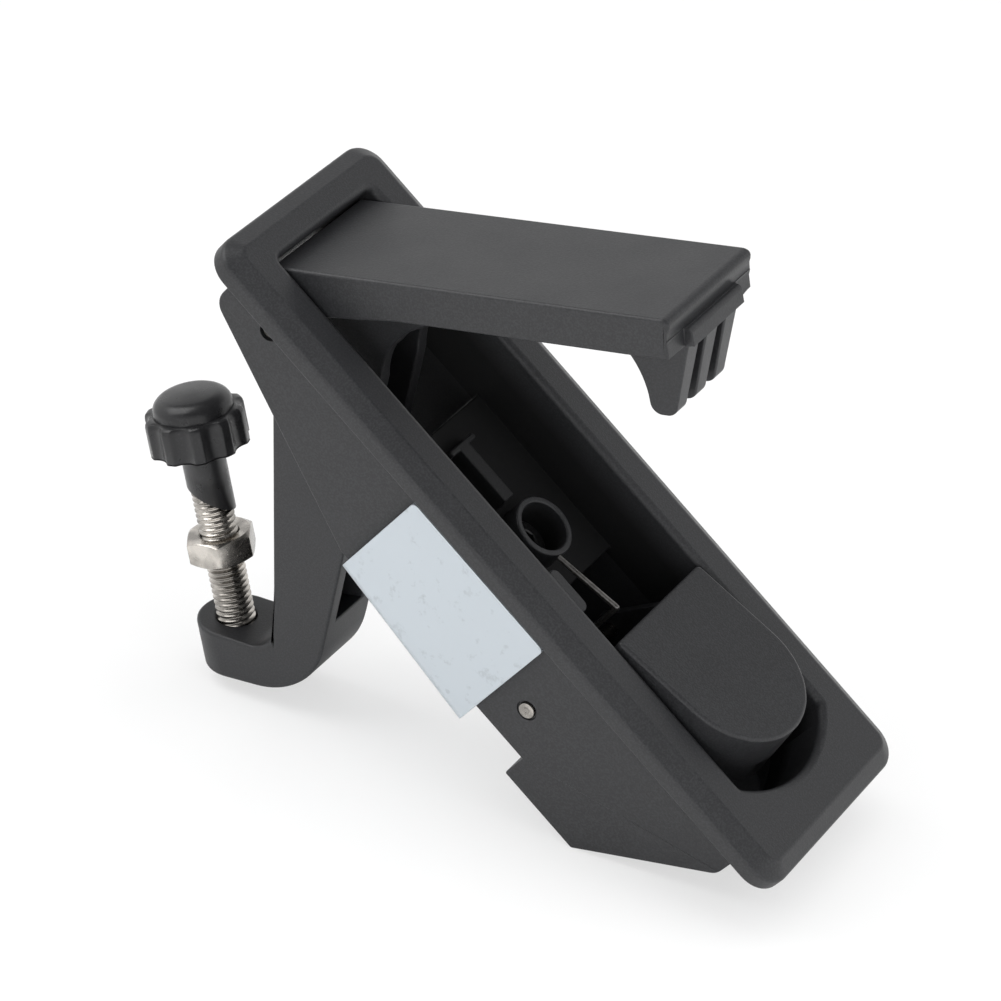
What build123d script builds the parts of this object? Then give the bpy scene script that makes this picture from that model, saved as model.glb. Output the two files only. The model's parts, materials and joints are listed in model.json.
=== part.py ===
from build123d import *
import math
import os

# Flush lift-handle compression latch, millimetres.
# Origin: centre of the flange's seating face. +X runs from the handle pivot to the push button,
# +Z points out of the panel. The handle is stored in its raised (open) position.

os.makedirs("parts", exist_ok=True)

# ---------------------------------------------------------------- driving dimensions
flange_length = 160.0
flange_width = 53.6
flange_edge = 3.4
flange_corner = 6.0
bevel_run = 3.45
bevel_rise = 2.35

opening_width = 36.2
pivot_end_rim = 7.2
button_end_rim = 10.35
opening_arc = 26.2
opening_corner = 1.5
edge_round = 1.6

pan_wall = 2.5
floor_top = -9.2
floor_thickness = 2.5
bulkhead_inset = 34.85
well_inset = 11.98
pan_shallow = -12.0
pan_bottom = -31.0
pan_slope_run = 39.85
pan_step_inset = 48.2
pan_deep = -37.2
pan_rise_inset = 28.7
pan_round = 4.0

boss_x = 0.42
boss_outer = 13.1
boss_bore = 10.4
boss_height = 5.8
boss_root = 16.0
boss_seat_depth = 14.1
rail_width = 3.3
rail_height = 3.8
rail_offset = 22.22
rail_length = 13.8
post_offset = 6.98
post_length = 10.1
post_width = 3.2
post_height = 10.0
post_y = -11.4

pivot_inset = 10.65
pivot_z = -6.7
open_angle = 48.82
pivot_diameter = 4.0
running_gap = 0.05
hub_radius = 6.5

handle_width = 32.06
handle_plate = 3.0
handle_skirt = 2.6
catch_gap = 0.18
skirt_depth = 8.1
rear_top = 1.0
rear_slope_run = 9.0
rear_slope_drop = 10.9
skirt_rise_start = 10.4
skirt_rise_end = 28.5
front_wall = 3.3
tab_height = 3.6
tab_drop = 4.4
tab_width = 22.0
prong_pitch = 7.3
prong_thickness = 4.0
prong_setback = 10.82
prong_width = 5.4
prong_tip = -11.15
prong_tip_round = 2.4
prong_root_length = 5.4

arm_width = 17.0
arm_cheek = 3.5
arm_back = 5.0
arm_back_low = (-18.1, -64.75)
arm_back_high = (-11.03, -25.75)
arm_pocket_bottom = -72.0
arm_block_end = 36.0
arm_screw_s = (16.0, 30.0)
arm_screw_diameter = 5.0
arm_screw_head = 8.5
arm_screw_head_height = 3.0
arm_screw_seat = 3.0
arm_screw_grip = 1.8

adjust_s = -36.5
adjust_level = -45.0
adjust_lean = 1.8
adjust_diameter = 8.0
adjust_tail = 1.2
foot_end = -43.45
foot_offset = 0.45
foot_top = -77.2
foot_bottom = -90.4
foot_throat = 3.4
heel_round = 18.2
throat_round = 6.0
lock_flats = 13.0
lock_height = 5.6
lock_bottom = -64.6
lock_turn = 30.0
ring_diameter = 20.8
ring_bottom = -39.0
ring_height = 7.8
dome_diameter = 16.5
dome_height = 4.2
flute_count = 10
flute_depth = 1.0
flute_radius = 3.2
knob_cap = 2.0
sleeve_diameter = 9.0
sleeve_end = -53.0

button_pin_inset = 55.07
button_pin_z = -21.33
button_pin_diameter = 3.0
button_tilt = 9.28
button_edge_inset = 54.25
button_edge_z = 5.98
button_length = 35.5
button_width = 31.8
button_plate = 2.4
button_skirt = 9.0
button_wall = 2.2
button_lip = 2.6
button_hub = 3.6
spring_wire = 1.2
button_spring_y = 2.8

bracket_sheet = 1.5
bracket_start = -19.55
bracket_end = 18.0
bracket_side_gap = 0.5
bracket_bend = 1.2
bracket_top = -5.6
bracket_drop = 2.15
bracket_slope = 5.4
clamp_diameter = 6.0
clamp_length = 31.0
clamp_head = 10.0
clamp_nut_flats = 10.0
clamp_nut_height = 5.0
washer_thickness = 1.5

# ---------------------------------------------------------------- derived sizes
half_length = flange_length / 2
opening_start = pivot_end_rim - half_length
opening_arc_x = half_length - button_end_rim - opening_arc
pivot_x = opening_start + pivot_inset
bulkhead_x = pivot_x + bulkhead_inset
pan_slope_end = pivot_x + pan_slope_run
pan_step_x = half_length - pan_step_inset
pan_rise_x = half_length - pan_rise_inset
button_pin_x = half_length - button_pin_inset
button_edge_x = half_length - button_edge_inset
handle_end = button_edge_x - pivot_x - catch_gap
prong_heel = handle_end - prong_setback
prong_toe = prong_heel + prong_width
well_start = boss_x + well_inset
rail_start = boss_x - rail_offset
rail_end = rail_start + rail_length
post_start = boss_x + post_offset
post_end = post_start + post_length
flange_top = flange_edge + bevel_rise
bevel_angle = math.degrees(math.atan2(bevel_run, bevel_rise))
pan_inner = opening_width / 2 - edge_round
pan_outer = pan_inner + pan_wall
pan_start = opening_start + edge_round
pan_end = opening_arc_x + opening_arc + pan_wall
boss_top = floor_top + boss_height
boss_seat = boss_top - boss_seat_depth
handle_top = flange_top - pivot_z
lug_inner = handle_width / 2 - handle_skirt
clamp_clearance = clamp_diameter + 0.8
plate_underside = handle_top - handle_plate
prong_root = handle_top - skirt_depth - 1
arm_heel = (-13.5, foot_bottom)
arm_throat = (-21.6, foot_top - foot_throat)
adjust_end = foot_bottom - adjust_tail
foot_height = foot_top - foot_bottom

# The lever is drawn in its own planes: s along the handle and n square to its top face.
lever_s = Vector(math.cos(math.radians(open_angle)), 0, math.sin(math.radians(open_angle)))
lever_n = Vector(-lever_s.Z, 0, lever_s.X)
pivot = Vector(pivot_x, 0, pivot_z)
lever_side = Plane(origin=pivot, x_dir=lever_s, z_dir=(0, -1, 0))


def lever_top(height):
    """Plane parallel to the handle's top at the given height n above the pivot."""
    return Plane(origin=pivot + lever_n * height, x_dir=lever_s, z_dir=lever_n)


# The adjusting screw leans a little from n towards the arm at its foot.
lean_angle = math.radians(adjust_lean)
screw_up = lever_n * math.cos(lean_angle) - lever_s * math.sin(lean_angle)
screw_across = lever_s * math.cos(lean_angle) + lever_n * math.sin(lean_angle)
screw_base = pivot + lever_s * adjust_s + lever_n * adjust_level


def screw_level(height):
    """Plane square to the adjusting screw, centred on its axis, at about the height n given."""
    origin = screw_base + screw_up * (height - adjust_level)
    return Plane(origin=origin, x_dir=screw_across, z_dir=screw_up)


def save(builder, name):
    builder.part.label = name
    export_step(builder.part, f"parts/{name}.step")


def opening_outline(inset):
    """The tray's outline: square at the pivot end, closed by a shallow arc at the button end."""
    half = opening_width / 2 - inset
    radius = opening_arc - inset
    start = opening_start + inset
    straight_end = opening_arc_x + math.sqrt(radius**2 - half**2)
    with BuildSketch(Plane.XY, mode=Mode.PRIVATE) as outline:
        with BuildLine():
            Polyline((straight_end, half), (start, half), (start, -half), (straight_end, -half))
            ThreePointArc(
                (straight_end, -half), (opening_arc_x + radius, 0), (straight_end, half)
            )
        make_face()
        fillet(outline.vertices(), opening_corner)
    return outline.sketch


def pan_profile():
    """Side view of the pan below the flange, in X and Z."""
    with BuildSketch(Plane.XY, mode=Mode.PRIVATE) as profile:
        with BuildLine():
            Polyline(
                (pan_start - pan_wall, 0),
                (pan_start - pan_wall, pan_shallow),
                (pan_slope_end, pan_bottom),
                (pan_step_x, pan_bottom),
                (pan_step_x, pan_deep),
                (pan_rise_x, pan_deep),
                (pan_end, pan_shallow),
                (pan_end, 0),
                close=True,
            )
        make_face()
        corners = profile.vertices().filter_by(lambda v: abs(v.Y - pan_shallow) < 0.1)
        fillet(corners, pan_round)
    return profile.sketch


# ---------------------------------------------------------------- housing
# Well that the push button and the handle's prongs drop into.
with BuildPart() as button_well:
    with BuildSketch(Plane.XZ):
        with BuildLine():
            Polyline(
                (well_start, floor_top + 1),
                (well_start, pan_bottom + floor_thickness),
                (pan_step_x + pan_wall, pan_bottom + floor_thickness),
                (pan_step_x + pan_wall, pan_deep + floor_thickness),
                (pan_rise_x - pan_wall / 2, pan_deep + floor_thickness),
                (pan_end - pan_wall, pan_shallow + floor_thickness),
                (pan_end - pan_wall, floor_top + 1),
                close=True,
            )
        make_face()
    extrude(amount=pan_inner, both=True)
    with BuildSketch(Plane.XY.offset(pan_deep)):
        add(opening_outline(edge_round))
    extrude(amount=-pan_deep, mode=Mode.INTERSECT)

# Hollow underside of the tray: the boss stands in it on cross ribs.
with BuildPart() as underside:
    with BuildSketch(Plane.XY.offset(floor_top - floor_thickness)):
        with Locations(((bulkhead_x + well_start) / 2, 0)):
            Rectangle(well_start - bulkhead_x - 2 * pan_wall, 2 * pan_inner)
        with Locations((boss_x, 0)):
            Circle(boss_root / 2, mode=Mode.SUBTRACT)
            Rectangle(pan_wall, 2 * pan_inner, mode=Mode.SUBTRACT)
        with Locations(((bulkhead_x + boss_x) / 2, 0)):
            Rectangle(boss_x - bulkhead_x, pan_wall, mode=Mode.SUBTRACT)
    extrude(amount=pan_bottom - floor_top)

with BuildPart() as housing:
    with BuildSketch(Plane.XY):
        RectangleRounded(flange_length, flange_width, flange_corner)
    extrude(amount=flange_edge)
    with BuildSketch(Plane.XY.offset(flange_edge)):
        RectangleRounded(flange_length, flange_width, flange_corner)
    extrude(amount=bevel_rise, taper=bevel_angle)
    with BuildSketch(Plane.XZ):
        add(pan_profile())
    extrude(amount=pan_outer, both=True)
    # tray opening
    with BuildSketch(Plane.XY.offset(floor_top)):
        add(opening_outline(edge_round))
    extrude(amount=flange_top - floor_top, mode=Mode.SUBTRACT)
    rim = housing.faces().sort_by(Axis.Z)[-1].inner_wires()[0].edges()
    fillet(rim, edge_round - 0.05)
    # arm slot, open downwards
    with BuildSketch(Plane.XY.offset(floor_top)):
        with Locations(((pan_start + bulkhead_x) / 2, 0)):
            Rectangle(bulkhead_x - pan_start, 2 * pan_inner)
    extrude(amount=pan_bottom, mode=Mode.SUBTRACT)
    add(underside.part, mode=Mode.SUBTRACT)
    add(button_well.part, mode=Mode.SUBTRACT)
    # tray floor details
    with BuildSketch(Plane.XY.offset(floor_top - 1)):
        with Locations((boss_x, 0)):
            Circle(boss_outer / 2)
    extrude(amount=boss_height + 1)
    with BuildSketch(Plane.XY.offset(floor_top - 1)):
        with Locations(((rail_start + rail_end) / 2, 0)):
            Rectangle(rail_end - rail_start, rail_width)
        with Locations((rail_start, 0)):
            Rectangle(1.2, 2.6 * rail_width)
    extrude(amount=rail_height + 1)
    with BuildSketch(Plane.XY.offset(floor_top - floor_thickness)):
        with Locations(((post_start + post_end) / 2, post_y)):
            SlotOverall(post_end - post_start, post_width)
    extrude(amount=floor_thickness + post_height)
    with Locations((boss_x, 0, boss_top)):
        CounterBoreHole(clamp_clearance / 2, boss_bore / 2, boss_seat_depth, depth=60)
    # pin holes through both side walls
    with BuildSketch(Plane.XZ.offset(pan_outer + 1)):
        with Locations((pivot_x, pivot_z)):
            Circle(pivot_diameter / 2)
        with Locations((button_pin_x, button_pin_z)):
            Circle(button_pin_diameter / 2)
    extrude(amount=-2 * pan_outer - 2, mode=Mode.SUBTRACT)
save(housing, "housing")

# ---------------------------------------------------------------- pivot pin
with BuildPart() as pivot_pin:
    with BuildSketch(Plane.XZ.offset(-pan_outer + 0.6)):
        with Locations((pivot_x, pivot_z)):
            Circle(pivot_diameter / 2)
    extrude(amount=2 * pan_outer - 1.2)
    chamfer(pivot_pin.edges().filter_by(GeomType.CIRCLE), 0.4)
save(pivot_pin, "pivot_pin")

# ---------------------------------------------------------------- lift handle
def prong_outline():
    """Hook that hangs under the handle's front wall, curved on its inner side."""
    root = (prong_heel - prong_root_length, prong_root + 0.4)
    with BuildSketch(Plane.XY, mode=Mode.PRIVATE) as outline:
        with BuildLine():
            Polyline(
                (prong_heel, -7.2),
                (prong_heel + 0.3, prong_tip),
                (prong_toe, prong_tip),
                (handle_end - 0.5, prong_root + 2),
                (prong_heel - prong_root_length, prong_root + 2),
                root,
            )
            ThreePointArc(root, (prong_heel - 1.5, -1.9), (prong_heel, -7.2))
        make_face()
        fillet(outline.vertices().sort_by(Axis.Y)[:2], prong_tip_round)
    return outline.sketch


with BuildPart() as handle:
    with BuildSketch(lever_side):
        with BuildLine():
            Polyline(
                (rear_top, handle_top),
                (handle_end, handle_top),
                (handle_end - 0.6, handle_top - tab_drop),
                (handle_end + 0.1, handle_top - tab_drop - tab_height),
                (handle_end - 0.2, handle_top - skirt_depth),
                (skirt_rise_end, handle_top - skirt_depth),
                (skirt_rise_start, hub_radius - pivot_diameter + 0.45),
                (hub_radius, 0),
            )
            ThreePointArc((hub_radius, 0), (0, -hub_radius), (-hub_radius, 0))
            Polyline(
                (-hub_radius, 0),
                (rear_top - rear_slope_run, handle_top - rear_slope_drop),
                (rear_top, handle_top),
            )
        make_face()
    extrude(amount=handle_width / 2, both=True)
    # hollow underside
    with BuildSketch(lever_side):
        with BuildLine():
            Polyline(
                (rear_top + 1, plate_underside),
                (handle_end - front_wall, plate_underside),
                (handle_end - front_wall, -3 * hub_radius),
                (-3 * hub_radius, -3 * hub_radius),
                (-3 * hub_radius, handle_top - rear_slope_drop + 1),
                (-5.2, handle_top - rear_slope_drop + 1),
                close=True,
            )
        make_face()
    extrude(amount=lug_inner, both=True, mode=Mode.SUBTRACT)
    # catch tab along the front face
    with BuildSketch(lever_side):
        with BuildLine():
            Polyline(
                (handle_end - 3, handle_top - tab_drop),
                (handle_end - 0.1, handle_top - tab_drop - 0.1),
                (handle_end + 0.55, handle_top - tab_drop - 0.7),
                (handle_end + 0.7, handle_top - tab_drop - tab_height),
                (handle_end - 3, handle_top - tab_drop - tab_height),
                close=True,
            )
        make_face()
    extrude(amount=tab_width / 2, both=True)
    # hooked prongs under the front wall
    for row in (-1, 0, 1):
        with BuildSketch(lever_side.offset(row * prong_pitch)):
            add(prong_outline())
        extrude(amount=prong_thickness / 2, both=True)
    # bores for the pivot pin and the two screws that hold the arm
    with BuildSketch(lever_side):
        Circle(pivot_diameter / 2 + running_gap)
    extrude(amount=handle_width, both=True, mode=Mode.SUBTRACT)
    with BuildSketch(lever_top(plate_underside)):
        with Locations(*[(s, 0) for s in arm_screw_s]):
            Circle(arm_screw_diameter / 2 + running_gap)
    extrude(amount=arm_screw_grip, mode=Mode.SUBTRACT)
save(handle, "handle")


# ---------------------------------------------------------------- hook arm
def arm_outline():
    """J-shaped side view of the arm, from the block under the handle to the screw's foot."""
    with BuildSketch(Plane.XY, mode=Mode.PRIVATE) as outline:
        with BuildLine():
            Polyline(
                (16.6, -13.5),
                arm_heel,
                (foot_end - 1, foot_bottom + 2.4),
                (foot_end - 1, foot_top),
                arm_throat,
                arm_back_low,
                arm_back_high,
                (-hub_radius, -1.0),
                (-5.0, 2.4),
                (2.2, plate_underside),
                (arm_block_end, plate_underside),
                (arm_block_end, 3.2),
                (27.5, -0.8),
            )
            ThreePointArc((27.5, -0.8), (20.2, -5.6), (16.6, -13.5))
        make_face()
        corner = Vector(*arm_heel)
        fillet(outline.vertices().sort_by(lambda v: (Vector(v.X, v.Y) - corner).length)[0], heel_round)
        inner = Vector(*arm_throat)
        fillet(outline.vertices().sort_by(lambda v: (Vector(v.X, v.Y) - inner).length)[0], throat_round)
    return outline.sketch


with BuildPart() as hook_arm:
    with BuildSketch(lever_side):
        add(arm_outline())
    extrude(amount=arm_width / 2, both=True)
    # pocket between the cheeks, open at the front
    with BuildSketch(lever_side):
        with BuildLine():
            Polyline(
                (8.0, -hub_radius),
                (arm_block_end + 4, -hub_radius),
                (arm_block_end + 4, arm_pocket_bottom),
                (arm_back_low[0] + arm_back + 1.4, arm_pocket_bottom),
                (arm_back_low[0] + arm_back, arm_back_low[1]),
                (arm_back_high[0] + arm_back, arm_back_high[1]),
                (-2.0, -10.5),
                close=True,
            )
        make_face()
    extrude(amount=arm_width / 2 - arm_cheek, both=True, mode=Mode.SUBTRACT)
    # the foot ends in a half round, and the adjusting screw's hole runs down through it
    with BuildSketch(screw_level(foot_bottom - 3)):
        with Locations((foot_offset - arm_width / 2, 0)):
            Rectangle(arm_width, 2 * arm_width)
        with Locations((foot_offset, 0)):
            Circle(arm_width / 2, mode=Mode.SUBTRACT)
    extrude(amount=foot_height + 6, mode=Mode.SUBTRACT)
    with BuildSketch(screw_level(foot_bottom - 3)):
        Circle(adjust_diameter / 2 + running_gap)
    extrude(amount=foot_height + 6, mode=Mode.SUBTRACT)
    with BuildSketch(lever_side):
        Circle(pivot_diameter / 2 + running_gap)
    extrude(amount=arm_width, both=True, mode=Mode.SUBTRACT)
    for s in arm_screw_s:
        with BuildSketch(lever_top(handle_top)):
            with Locations((s, 0)):
                Circle(arm_screw_diameter / 2 + running_gap)
        extrude(amount=-handle_top - 10, mode=Mode.SUBTRACT)
        with BuildSketch(lever_top(arm_screw_seat)):
            with Locations((s, 0)):
                Circle(arm_screw_head / 2 + 0.2)
        extrude(amount=-arm_screw_seat - 10, mode=Mode.SUBTRACT)
save(hook_arm, "hook_arm")

for index, s in enumerate(arm_screw_s):
    with BuildPart() as arm_screw:
        with BuildSketch(lever_top(arm_screw_seat)):
            with Locations((s, 0)):
                Circle(arm_screw_diameter / 2)
        extrude(amount=plate_underside + arm_screw_grip - arm_screw_seat - 0.2)
        with BuildSketch(lever_top(arm_screw_seat)):
            with Locations((s, 0)):
                Circle(arm_screw_head / 2)
                RegularPolygon(2.0, 6, major_radius=False, mode=Mode.SUBTRACT)
        extrude(amount=-arm_screw_head_height)
    save(arm_screw, f"arm_screw_{index + 1}")

# ---------------------------------------------------------------- adjusting screw and knob
with BuildPart() as adjusting_screw:
    with BuildSketch(screw_level(adjust_end)):
        Circle(adjust_diameter / 2)
    extrude(amount=ring_bottom + ring_height - knob_cap - adjust_end)
    chamfer(adjusting_screw.faces().sort_by(Axis(screw_base, screw_up))[0].edges(), 0.8)
save(adjusting_screw, "adjusting_screw")

with BuildPart() as lock_nut:
    with BuildSketch(screw_level(lock_bottom)):
        RegularPolygon(lock_flats / 2, 6, major_radius=False, rotation=lock_turn)
    extrude(amount=lock_height)
    with BuildSketch(screw_level(lock_bottom)):
        Circle(lock_flats * 0.575)
        Circle(adjust_diameter / 2 + running_gap, mode=Mode.SUBTRACT)
    extrude(amount=lock_height, mode=Mode.INTERSECT)
save(lock_nut, "lock_nut")

with BuildPart() as bumper_knob:
    with BuildSketch(screw_level(ring_bottom)):
        Circle(ring_diameter / 2)
        with PolarLocations(ring_diameter / 2 + flute_radius - flute_depth, flute_count):
            Circle(flute_radius, mode=Mode.SUBTRACT)
    extrude(amount=ring_height)
    chamfer(bumper_knob.faces().sort_by(Axis(screw_base, screw_up))[0].edges(), 0.5)
    chamfer(bumper_knob.faces().sort_by(Axis(screw_base, screw_up))[-1].edges(), 0.8)
    with BuildSketch(screw_level(ring_bottom + ring_height)):
        Circle(dome_diameter / 2)
    extrude(amount=dome_height)
    fillet(bumper_knob.faces().sort_by(Axis(screw_base, screw_up))[-1].edges(), dome_height - 1)
    with BuildSketch(screw_level(ring_bottom)):
        Circle(adjust_diameter / 2 + running_gap)
    extrude(amount=ring_height - knob_cap + 0.2, mode=Mode.SUBTRACT)
save(bumper_knob, "bumper_knob")

with BuildPart() as screw_sleeve:
    with BuildSketch(screw_level(sleeve_end)):
        Circle(sleeve_diameter / 2)
        Circle(adjust_diameter / 2 + running_gap, mode=Mode.SUBTRACT)
    extrude(amount=ring_bottom - sleeve_end)
save(screw_sleeve, "screw_sleeve")

# ---------------------------------------------------------------- push button
tilt = math.radians(button_tilt)
button_top = Plane(
    origin=(button_edge_x, 0, button_edge_z),
    x_dir=(math.cos(tilt), 0, math.sin(tilt)),
    z_dir=(-math.sin(tilt), 0, math.cos(tilt)),
)


def button_outline(inset, front):
    """D shape: straight catch edge at the front, half-round thumb end at the rear."""
    half = button_width / 2 - inset
    centre = button_length - button_width / 2
    with BuildSketch(Plane.XY, mode=Mode.PRIVATE) as outline:
        with BuildLine():
            Polyline((centre, half), (front, half), (front, -half), (centre, -half))
            ThreePointArc((centre, -half), (centre + half, 0), (centre, half))
        make_face()
        fillet(outline.vertices().sort_by(Axis.X)[:2], 1.0)
    return outline.sketch


with BuildPart() as push_button:
    with BuildSketch(button_top.offset(-button_plate)):
        add(button_outline(0, 0))
    extrude(amount=button_plate)
    fillet(push_button.faces().sort_by(Axis((0, 0, 0), button_top.z_dir))[-1].edges(), 0.8)
    with BuildSketch(button_top.offset(-button_skirt)):
        add(button_outline(0, button_lip))
        add(button_outline(button_wall, button_lip + button_wall), mode=Mode.SUBTRACT)
    extrude(amount=button_skirt - button_plate)
    # side arms down to the pin
    for side in (-1, 1):
        middle = side * (button_width / 2 - button_wall / 2)
        with BuildSketch(Plane.XZ.offset(-middle)):
            with BuildLine():
                Polyline(
                    (button_pin_x - button_hub, button_pin_z),
                    (button_edge_x + button_lip + 1.2, -2.0),
                    (button_edge_x + 19.0, 1.0),
                    (button_pin_x + button_hub, button_pin_z),
                )
                ThreePointArc(
                    (button_pin_x + button_hub, button_pin_z),
                    (button_pin_x, button_pin_z - button_hub),
                    (button_pin_x - button_hub, button_pin_z),
                )
            make_face()
        extrude(amount=button_wall / 2, both=True)
    with BuildSketch(Plane.XZ):
        with Locations((button_pin_x, button_pin_z)):
            Circle(button_pin_diameter / 2 + running_gap)
    extrude(amount=button_width, both=True, mode=Mode.SUBTRACT)
save(push_button, "push_button")

with BuildPart() as button_pin:
    with BuildSketch(Plane.XZ.offset(-pan_outer - 0.3)):
        with Locations((button_pin_x, button_pin_z)):
            Circle(button_pin_diameter / 2)
    extrude(amount=2 * pan_outer + 0.6)
    fillet(button_pin.edges().filter_by(GeomType.CIRCLE), 0.5)
save(button_pin, "button_pin")


# ---------------------------------------------------------------- torsion springs
def torsion_spring(x, z, y, radius, turns, leg_points):
    """Wound wire about a cross pin, with a straight leg that follows the given points."""
    pitch = spring_wire * 1.1
    first_y = y - pitch * turns / 2
    coil = Helix(pitch=pitch, height=pitch * turns, radius=radius)
    coil = coil.moved(Location(Plane(origin=(x, first_y, z), x_dir=(-1, 0, 0), z_dir=(0, 1, 0))))
    start = coil @ 0
    section = Plane(origin=start, z_dir=coil % 0)
    body = sweep(section * Circle(spring_wire / 2), path=coil)
    leg = Polyline(start, *[(px, first_y, pz) for px, pz in leg_points])
    first = Plane(origin=start, z_dir=leg % 0)
    arm = sweep(first * Circle(spring_wire / 2), path=leg, transition=Transition.ROUND)
    return body + arm + Pos(*start) * Sphere(spring_wire / 2)


def save_spring(solid, name):
    with BuildPart() as spring:
        add(solid)
    save(spring, name)


pivot_coil = pivot_diameter / 2 + 0.4 + spring_wire / 2
for name, side in (("handle_spring_near", -1), ("handle_spring_far", 1)):
    spring_y = side * (arm_width / 2 + lug_inner) / 2
    leg_points = [(pivot_x - pivot_coil, pivot_z + 6)]
    save_spring(
        torsion_spring(pivot_x, pivot_z, spring_y, pivot_coil, 2, leg_points), name
    )

button_coil = button_pin_diameter / 2 + 1.0 + spring_wire / 2
leg_points = [
    (button_pin_x - button_coil - 0.6, 0.1),
    (boss_x + boss_outer / 2 - 0.3, boss_top + spring_wire / 2),
]
save_spring(
    torsion_spring(button_pin_x, button_pin_z, button_spring_y, button_coil, 5, leg_points),
    "button_spring",
)

# ---------------------------------------------------------------- clamp screw, nut and bracket
head_bottom = boss_seat + washer_thickness
with BuildPart() as clamp_washer:
    with BuildSketch(Plane.XY.offset(boss_seat)):
        with Locations((boss_x, 0)):
            Circle(clamp_head / 2)
            Circle(clamp_diameter / 2 + 0.2, mode=Mode.SUBTRACT)
            with Locations((clamp_head / 2, 0)):
                Rectangle(clamp_head, 0.8, mode=Mode.SUBTRACT)
    extrude(amount=washer_thickness)
save(clamp_washer, "clamp_washer")

with BuildPart() as clamp_screw:
    with BuildSketch(Plane.XY.offset(head_bottom)):
        with Locations((boss_x, 0)):
            Circle(clamp_head / 2)
    extrude(amount=clamp_diameter)
    chamfer(clamp_screw.faces().sort_by(Axis.Z)[-1].edges(), 0.5)
    with BuildSketch(Plane.XY.offset(head_bottom + clamp_diameter)):
        with Locations((boss_x, 0)):
            RegularPolygon(2.5, 6, major_radius=False)
    extrude(amount=-3.5, mode=Mode.SUBTRACT)
    with BuildSketch(Plane.XY.offset(head_bottom)):
        with Locations((boss_x, 0)):
            Circle(clamp_diameter / 2)
    extrude(amount=-clamp_length)
save(clamp_screw, "clamp_screw")

bracket_web_bottom = pan_bottom - bracket_drop - bracket_sheet
nut_top = bracket_web_bottom - 0.6
with BuildPart() as clamp_nut:
    with BuildSketch(Plane.XY.offset(nut_top)):
        with Locations((boss_x, 0)):
            RegularPolygon(clamp_nut_flats / 2, 6, major_radius=False)
            Circle(clamp_diameter / 2 + running_gap, mode=Mode.SUBTRACT)
    extrude(amount=-clamp_nut_height)
save(clamp_nut, "clamp_nut")

# U channel: the sheet's web slopes a little, and its arms are cut level with the flange.
slope = math.radians(bracket_slope)
bracket_axis = Vector(math.cos(slope), 0, -math.sin(slope))
bracket_origin = Vector(boss_x, 0, bracket_web_bottom)
bracket_inner = pan_outer + bracket_side_gap
bracket_height = -bracket_web_bottom
bracket_length = bracket_end - bracket_start
with BuildPart() as mounting_bracket:
    with BuildSketch(Plane(origin=bracket_origin, x_dir=(0, 1, 0), z_dir=bracket_axis)) as channel:
        with Locations((0, bracket_height / 2)):
            Rectangle(2 * (bracket_inner + bracket_sheet), bracket_height)
        fillet(channel.vertices().sort_by(Axis.Y)[:2], bracket_bend + bracket_sheet)
        with BuildSketch(mode=Mode.SUBTRACT) as hollow:
            with Locations((0, bracket_height / 2 + bracket_sheet)):
                Rectangle(2 * bracket_inner, bracket_height)
            fillet(hollow.vertices().sort_by(Axis.Y)[:2], bracket_bend)
    extrude(amount=bracket_length, both=True)
    with BuildSketch(Plane.XY.offset(bracket_top)):
        with Locations(((bracket_start + bracket_end) / 2, 0)):
            Rectangle(bracket_length, 4 * bracket_inner)
    extrude(amount=-2 * bracket_height, mode=Mode.INTERSECT)
    top_corners = mounting_bracket.edges().filter_by(Axis.Y).sort_by(Axis.Z)[-4:]
    fillet(top_corners, bracket_bend)
    with BuildSketch(Plane.XY.offset(bracket_web_bottom)):
        with Locations((boss_x, 0)):
            Circle(clamp_diameter / 2 + 0.6)
    extrude(amount=bracket_sheet * 3, both=True, mode=Mode.SUBTRACT)
save(mounting_bracket, "mounting_bracket")
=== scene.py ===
"""Dresses the flush lift-handle compression latch: castings, threads, finishes and studio."""
import json
import math

import bpy
from mathutils import Matrix, Vector

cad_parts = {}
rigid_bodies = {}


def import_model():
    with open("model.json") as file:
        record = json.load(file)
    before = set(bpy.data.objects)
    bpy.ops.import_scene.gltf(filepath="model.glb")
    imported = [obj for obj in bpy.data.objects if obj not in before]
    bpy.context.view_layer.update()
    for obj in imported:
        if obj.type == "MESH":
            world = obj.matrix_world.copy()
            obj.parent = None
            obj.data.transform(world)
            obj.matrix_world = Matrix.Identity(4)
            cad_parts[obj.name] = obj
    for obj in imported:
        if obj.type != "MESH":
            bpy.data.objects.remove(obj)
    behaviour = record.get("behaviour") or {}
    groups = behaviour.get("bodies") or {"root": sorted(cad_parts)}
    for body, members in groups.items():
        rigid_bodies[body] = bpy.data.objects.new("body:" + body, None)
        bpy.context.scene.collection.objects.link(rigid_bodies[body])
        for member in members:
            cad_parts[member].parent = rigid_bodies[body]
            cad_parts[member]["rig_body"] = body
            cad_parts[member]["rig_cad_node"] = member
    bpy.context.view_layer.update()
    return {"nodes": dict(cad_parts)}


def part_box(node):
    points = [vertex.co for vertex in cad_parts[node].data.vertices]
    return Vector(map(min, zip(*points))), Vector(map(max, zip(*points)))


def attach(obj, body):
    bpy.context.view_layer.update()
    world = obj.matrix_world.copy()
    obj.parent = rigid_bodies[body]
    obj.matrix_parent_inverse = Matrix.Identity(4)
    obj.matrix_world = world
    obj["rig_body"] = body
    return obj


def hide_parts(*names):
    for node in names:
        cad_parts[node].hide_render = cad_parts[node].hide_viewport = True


bl_info = {
    "name": "Compression latch dressing",
    "version": (1, 0, 0),
    "blender": (4, 5, 0),
    "location": "View3D > Sidebar > Latch",
    "description": "Builds the visible castings, fasteners and finishes of a flush compression latch",
    "category": "Object",
}

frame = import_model()

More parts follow.
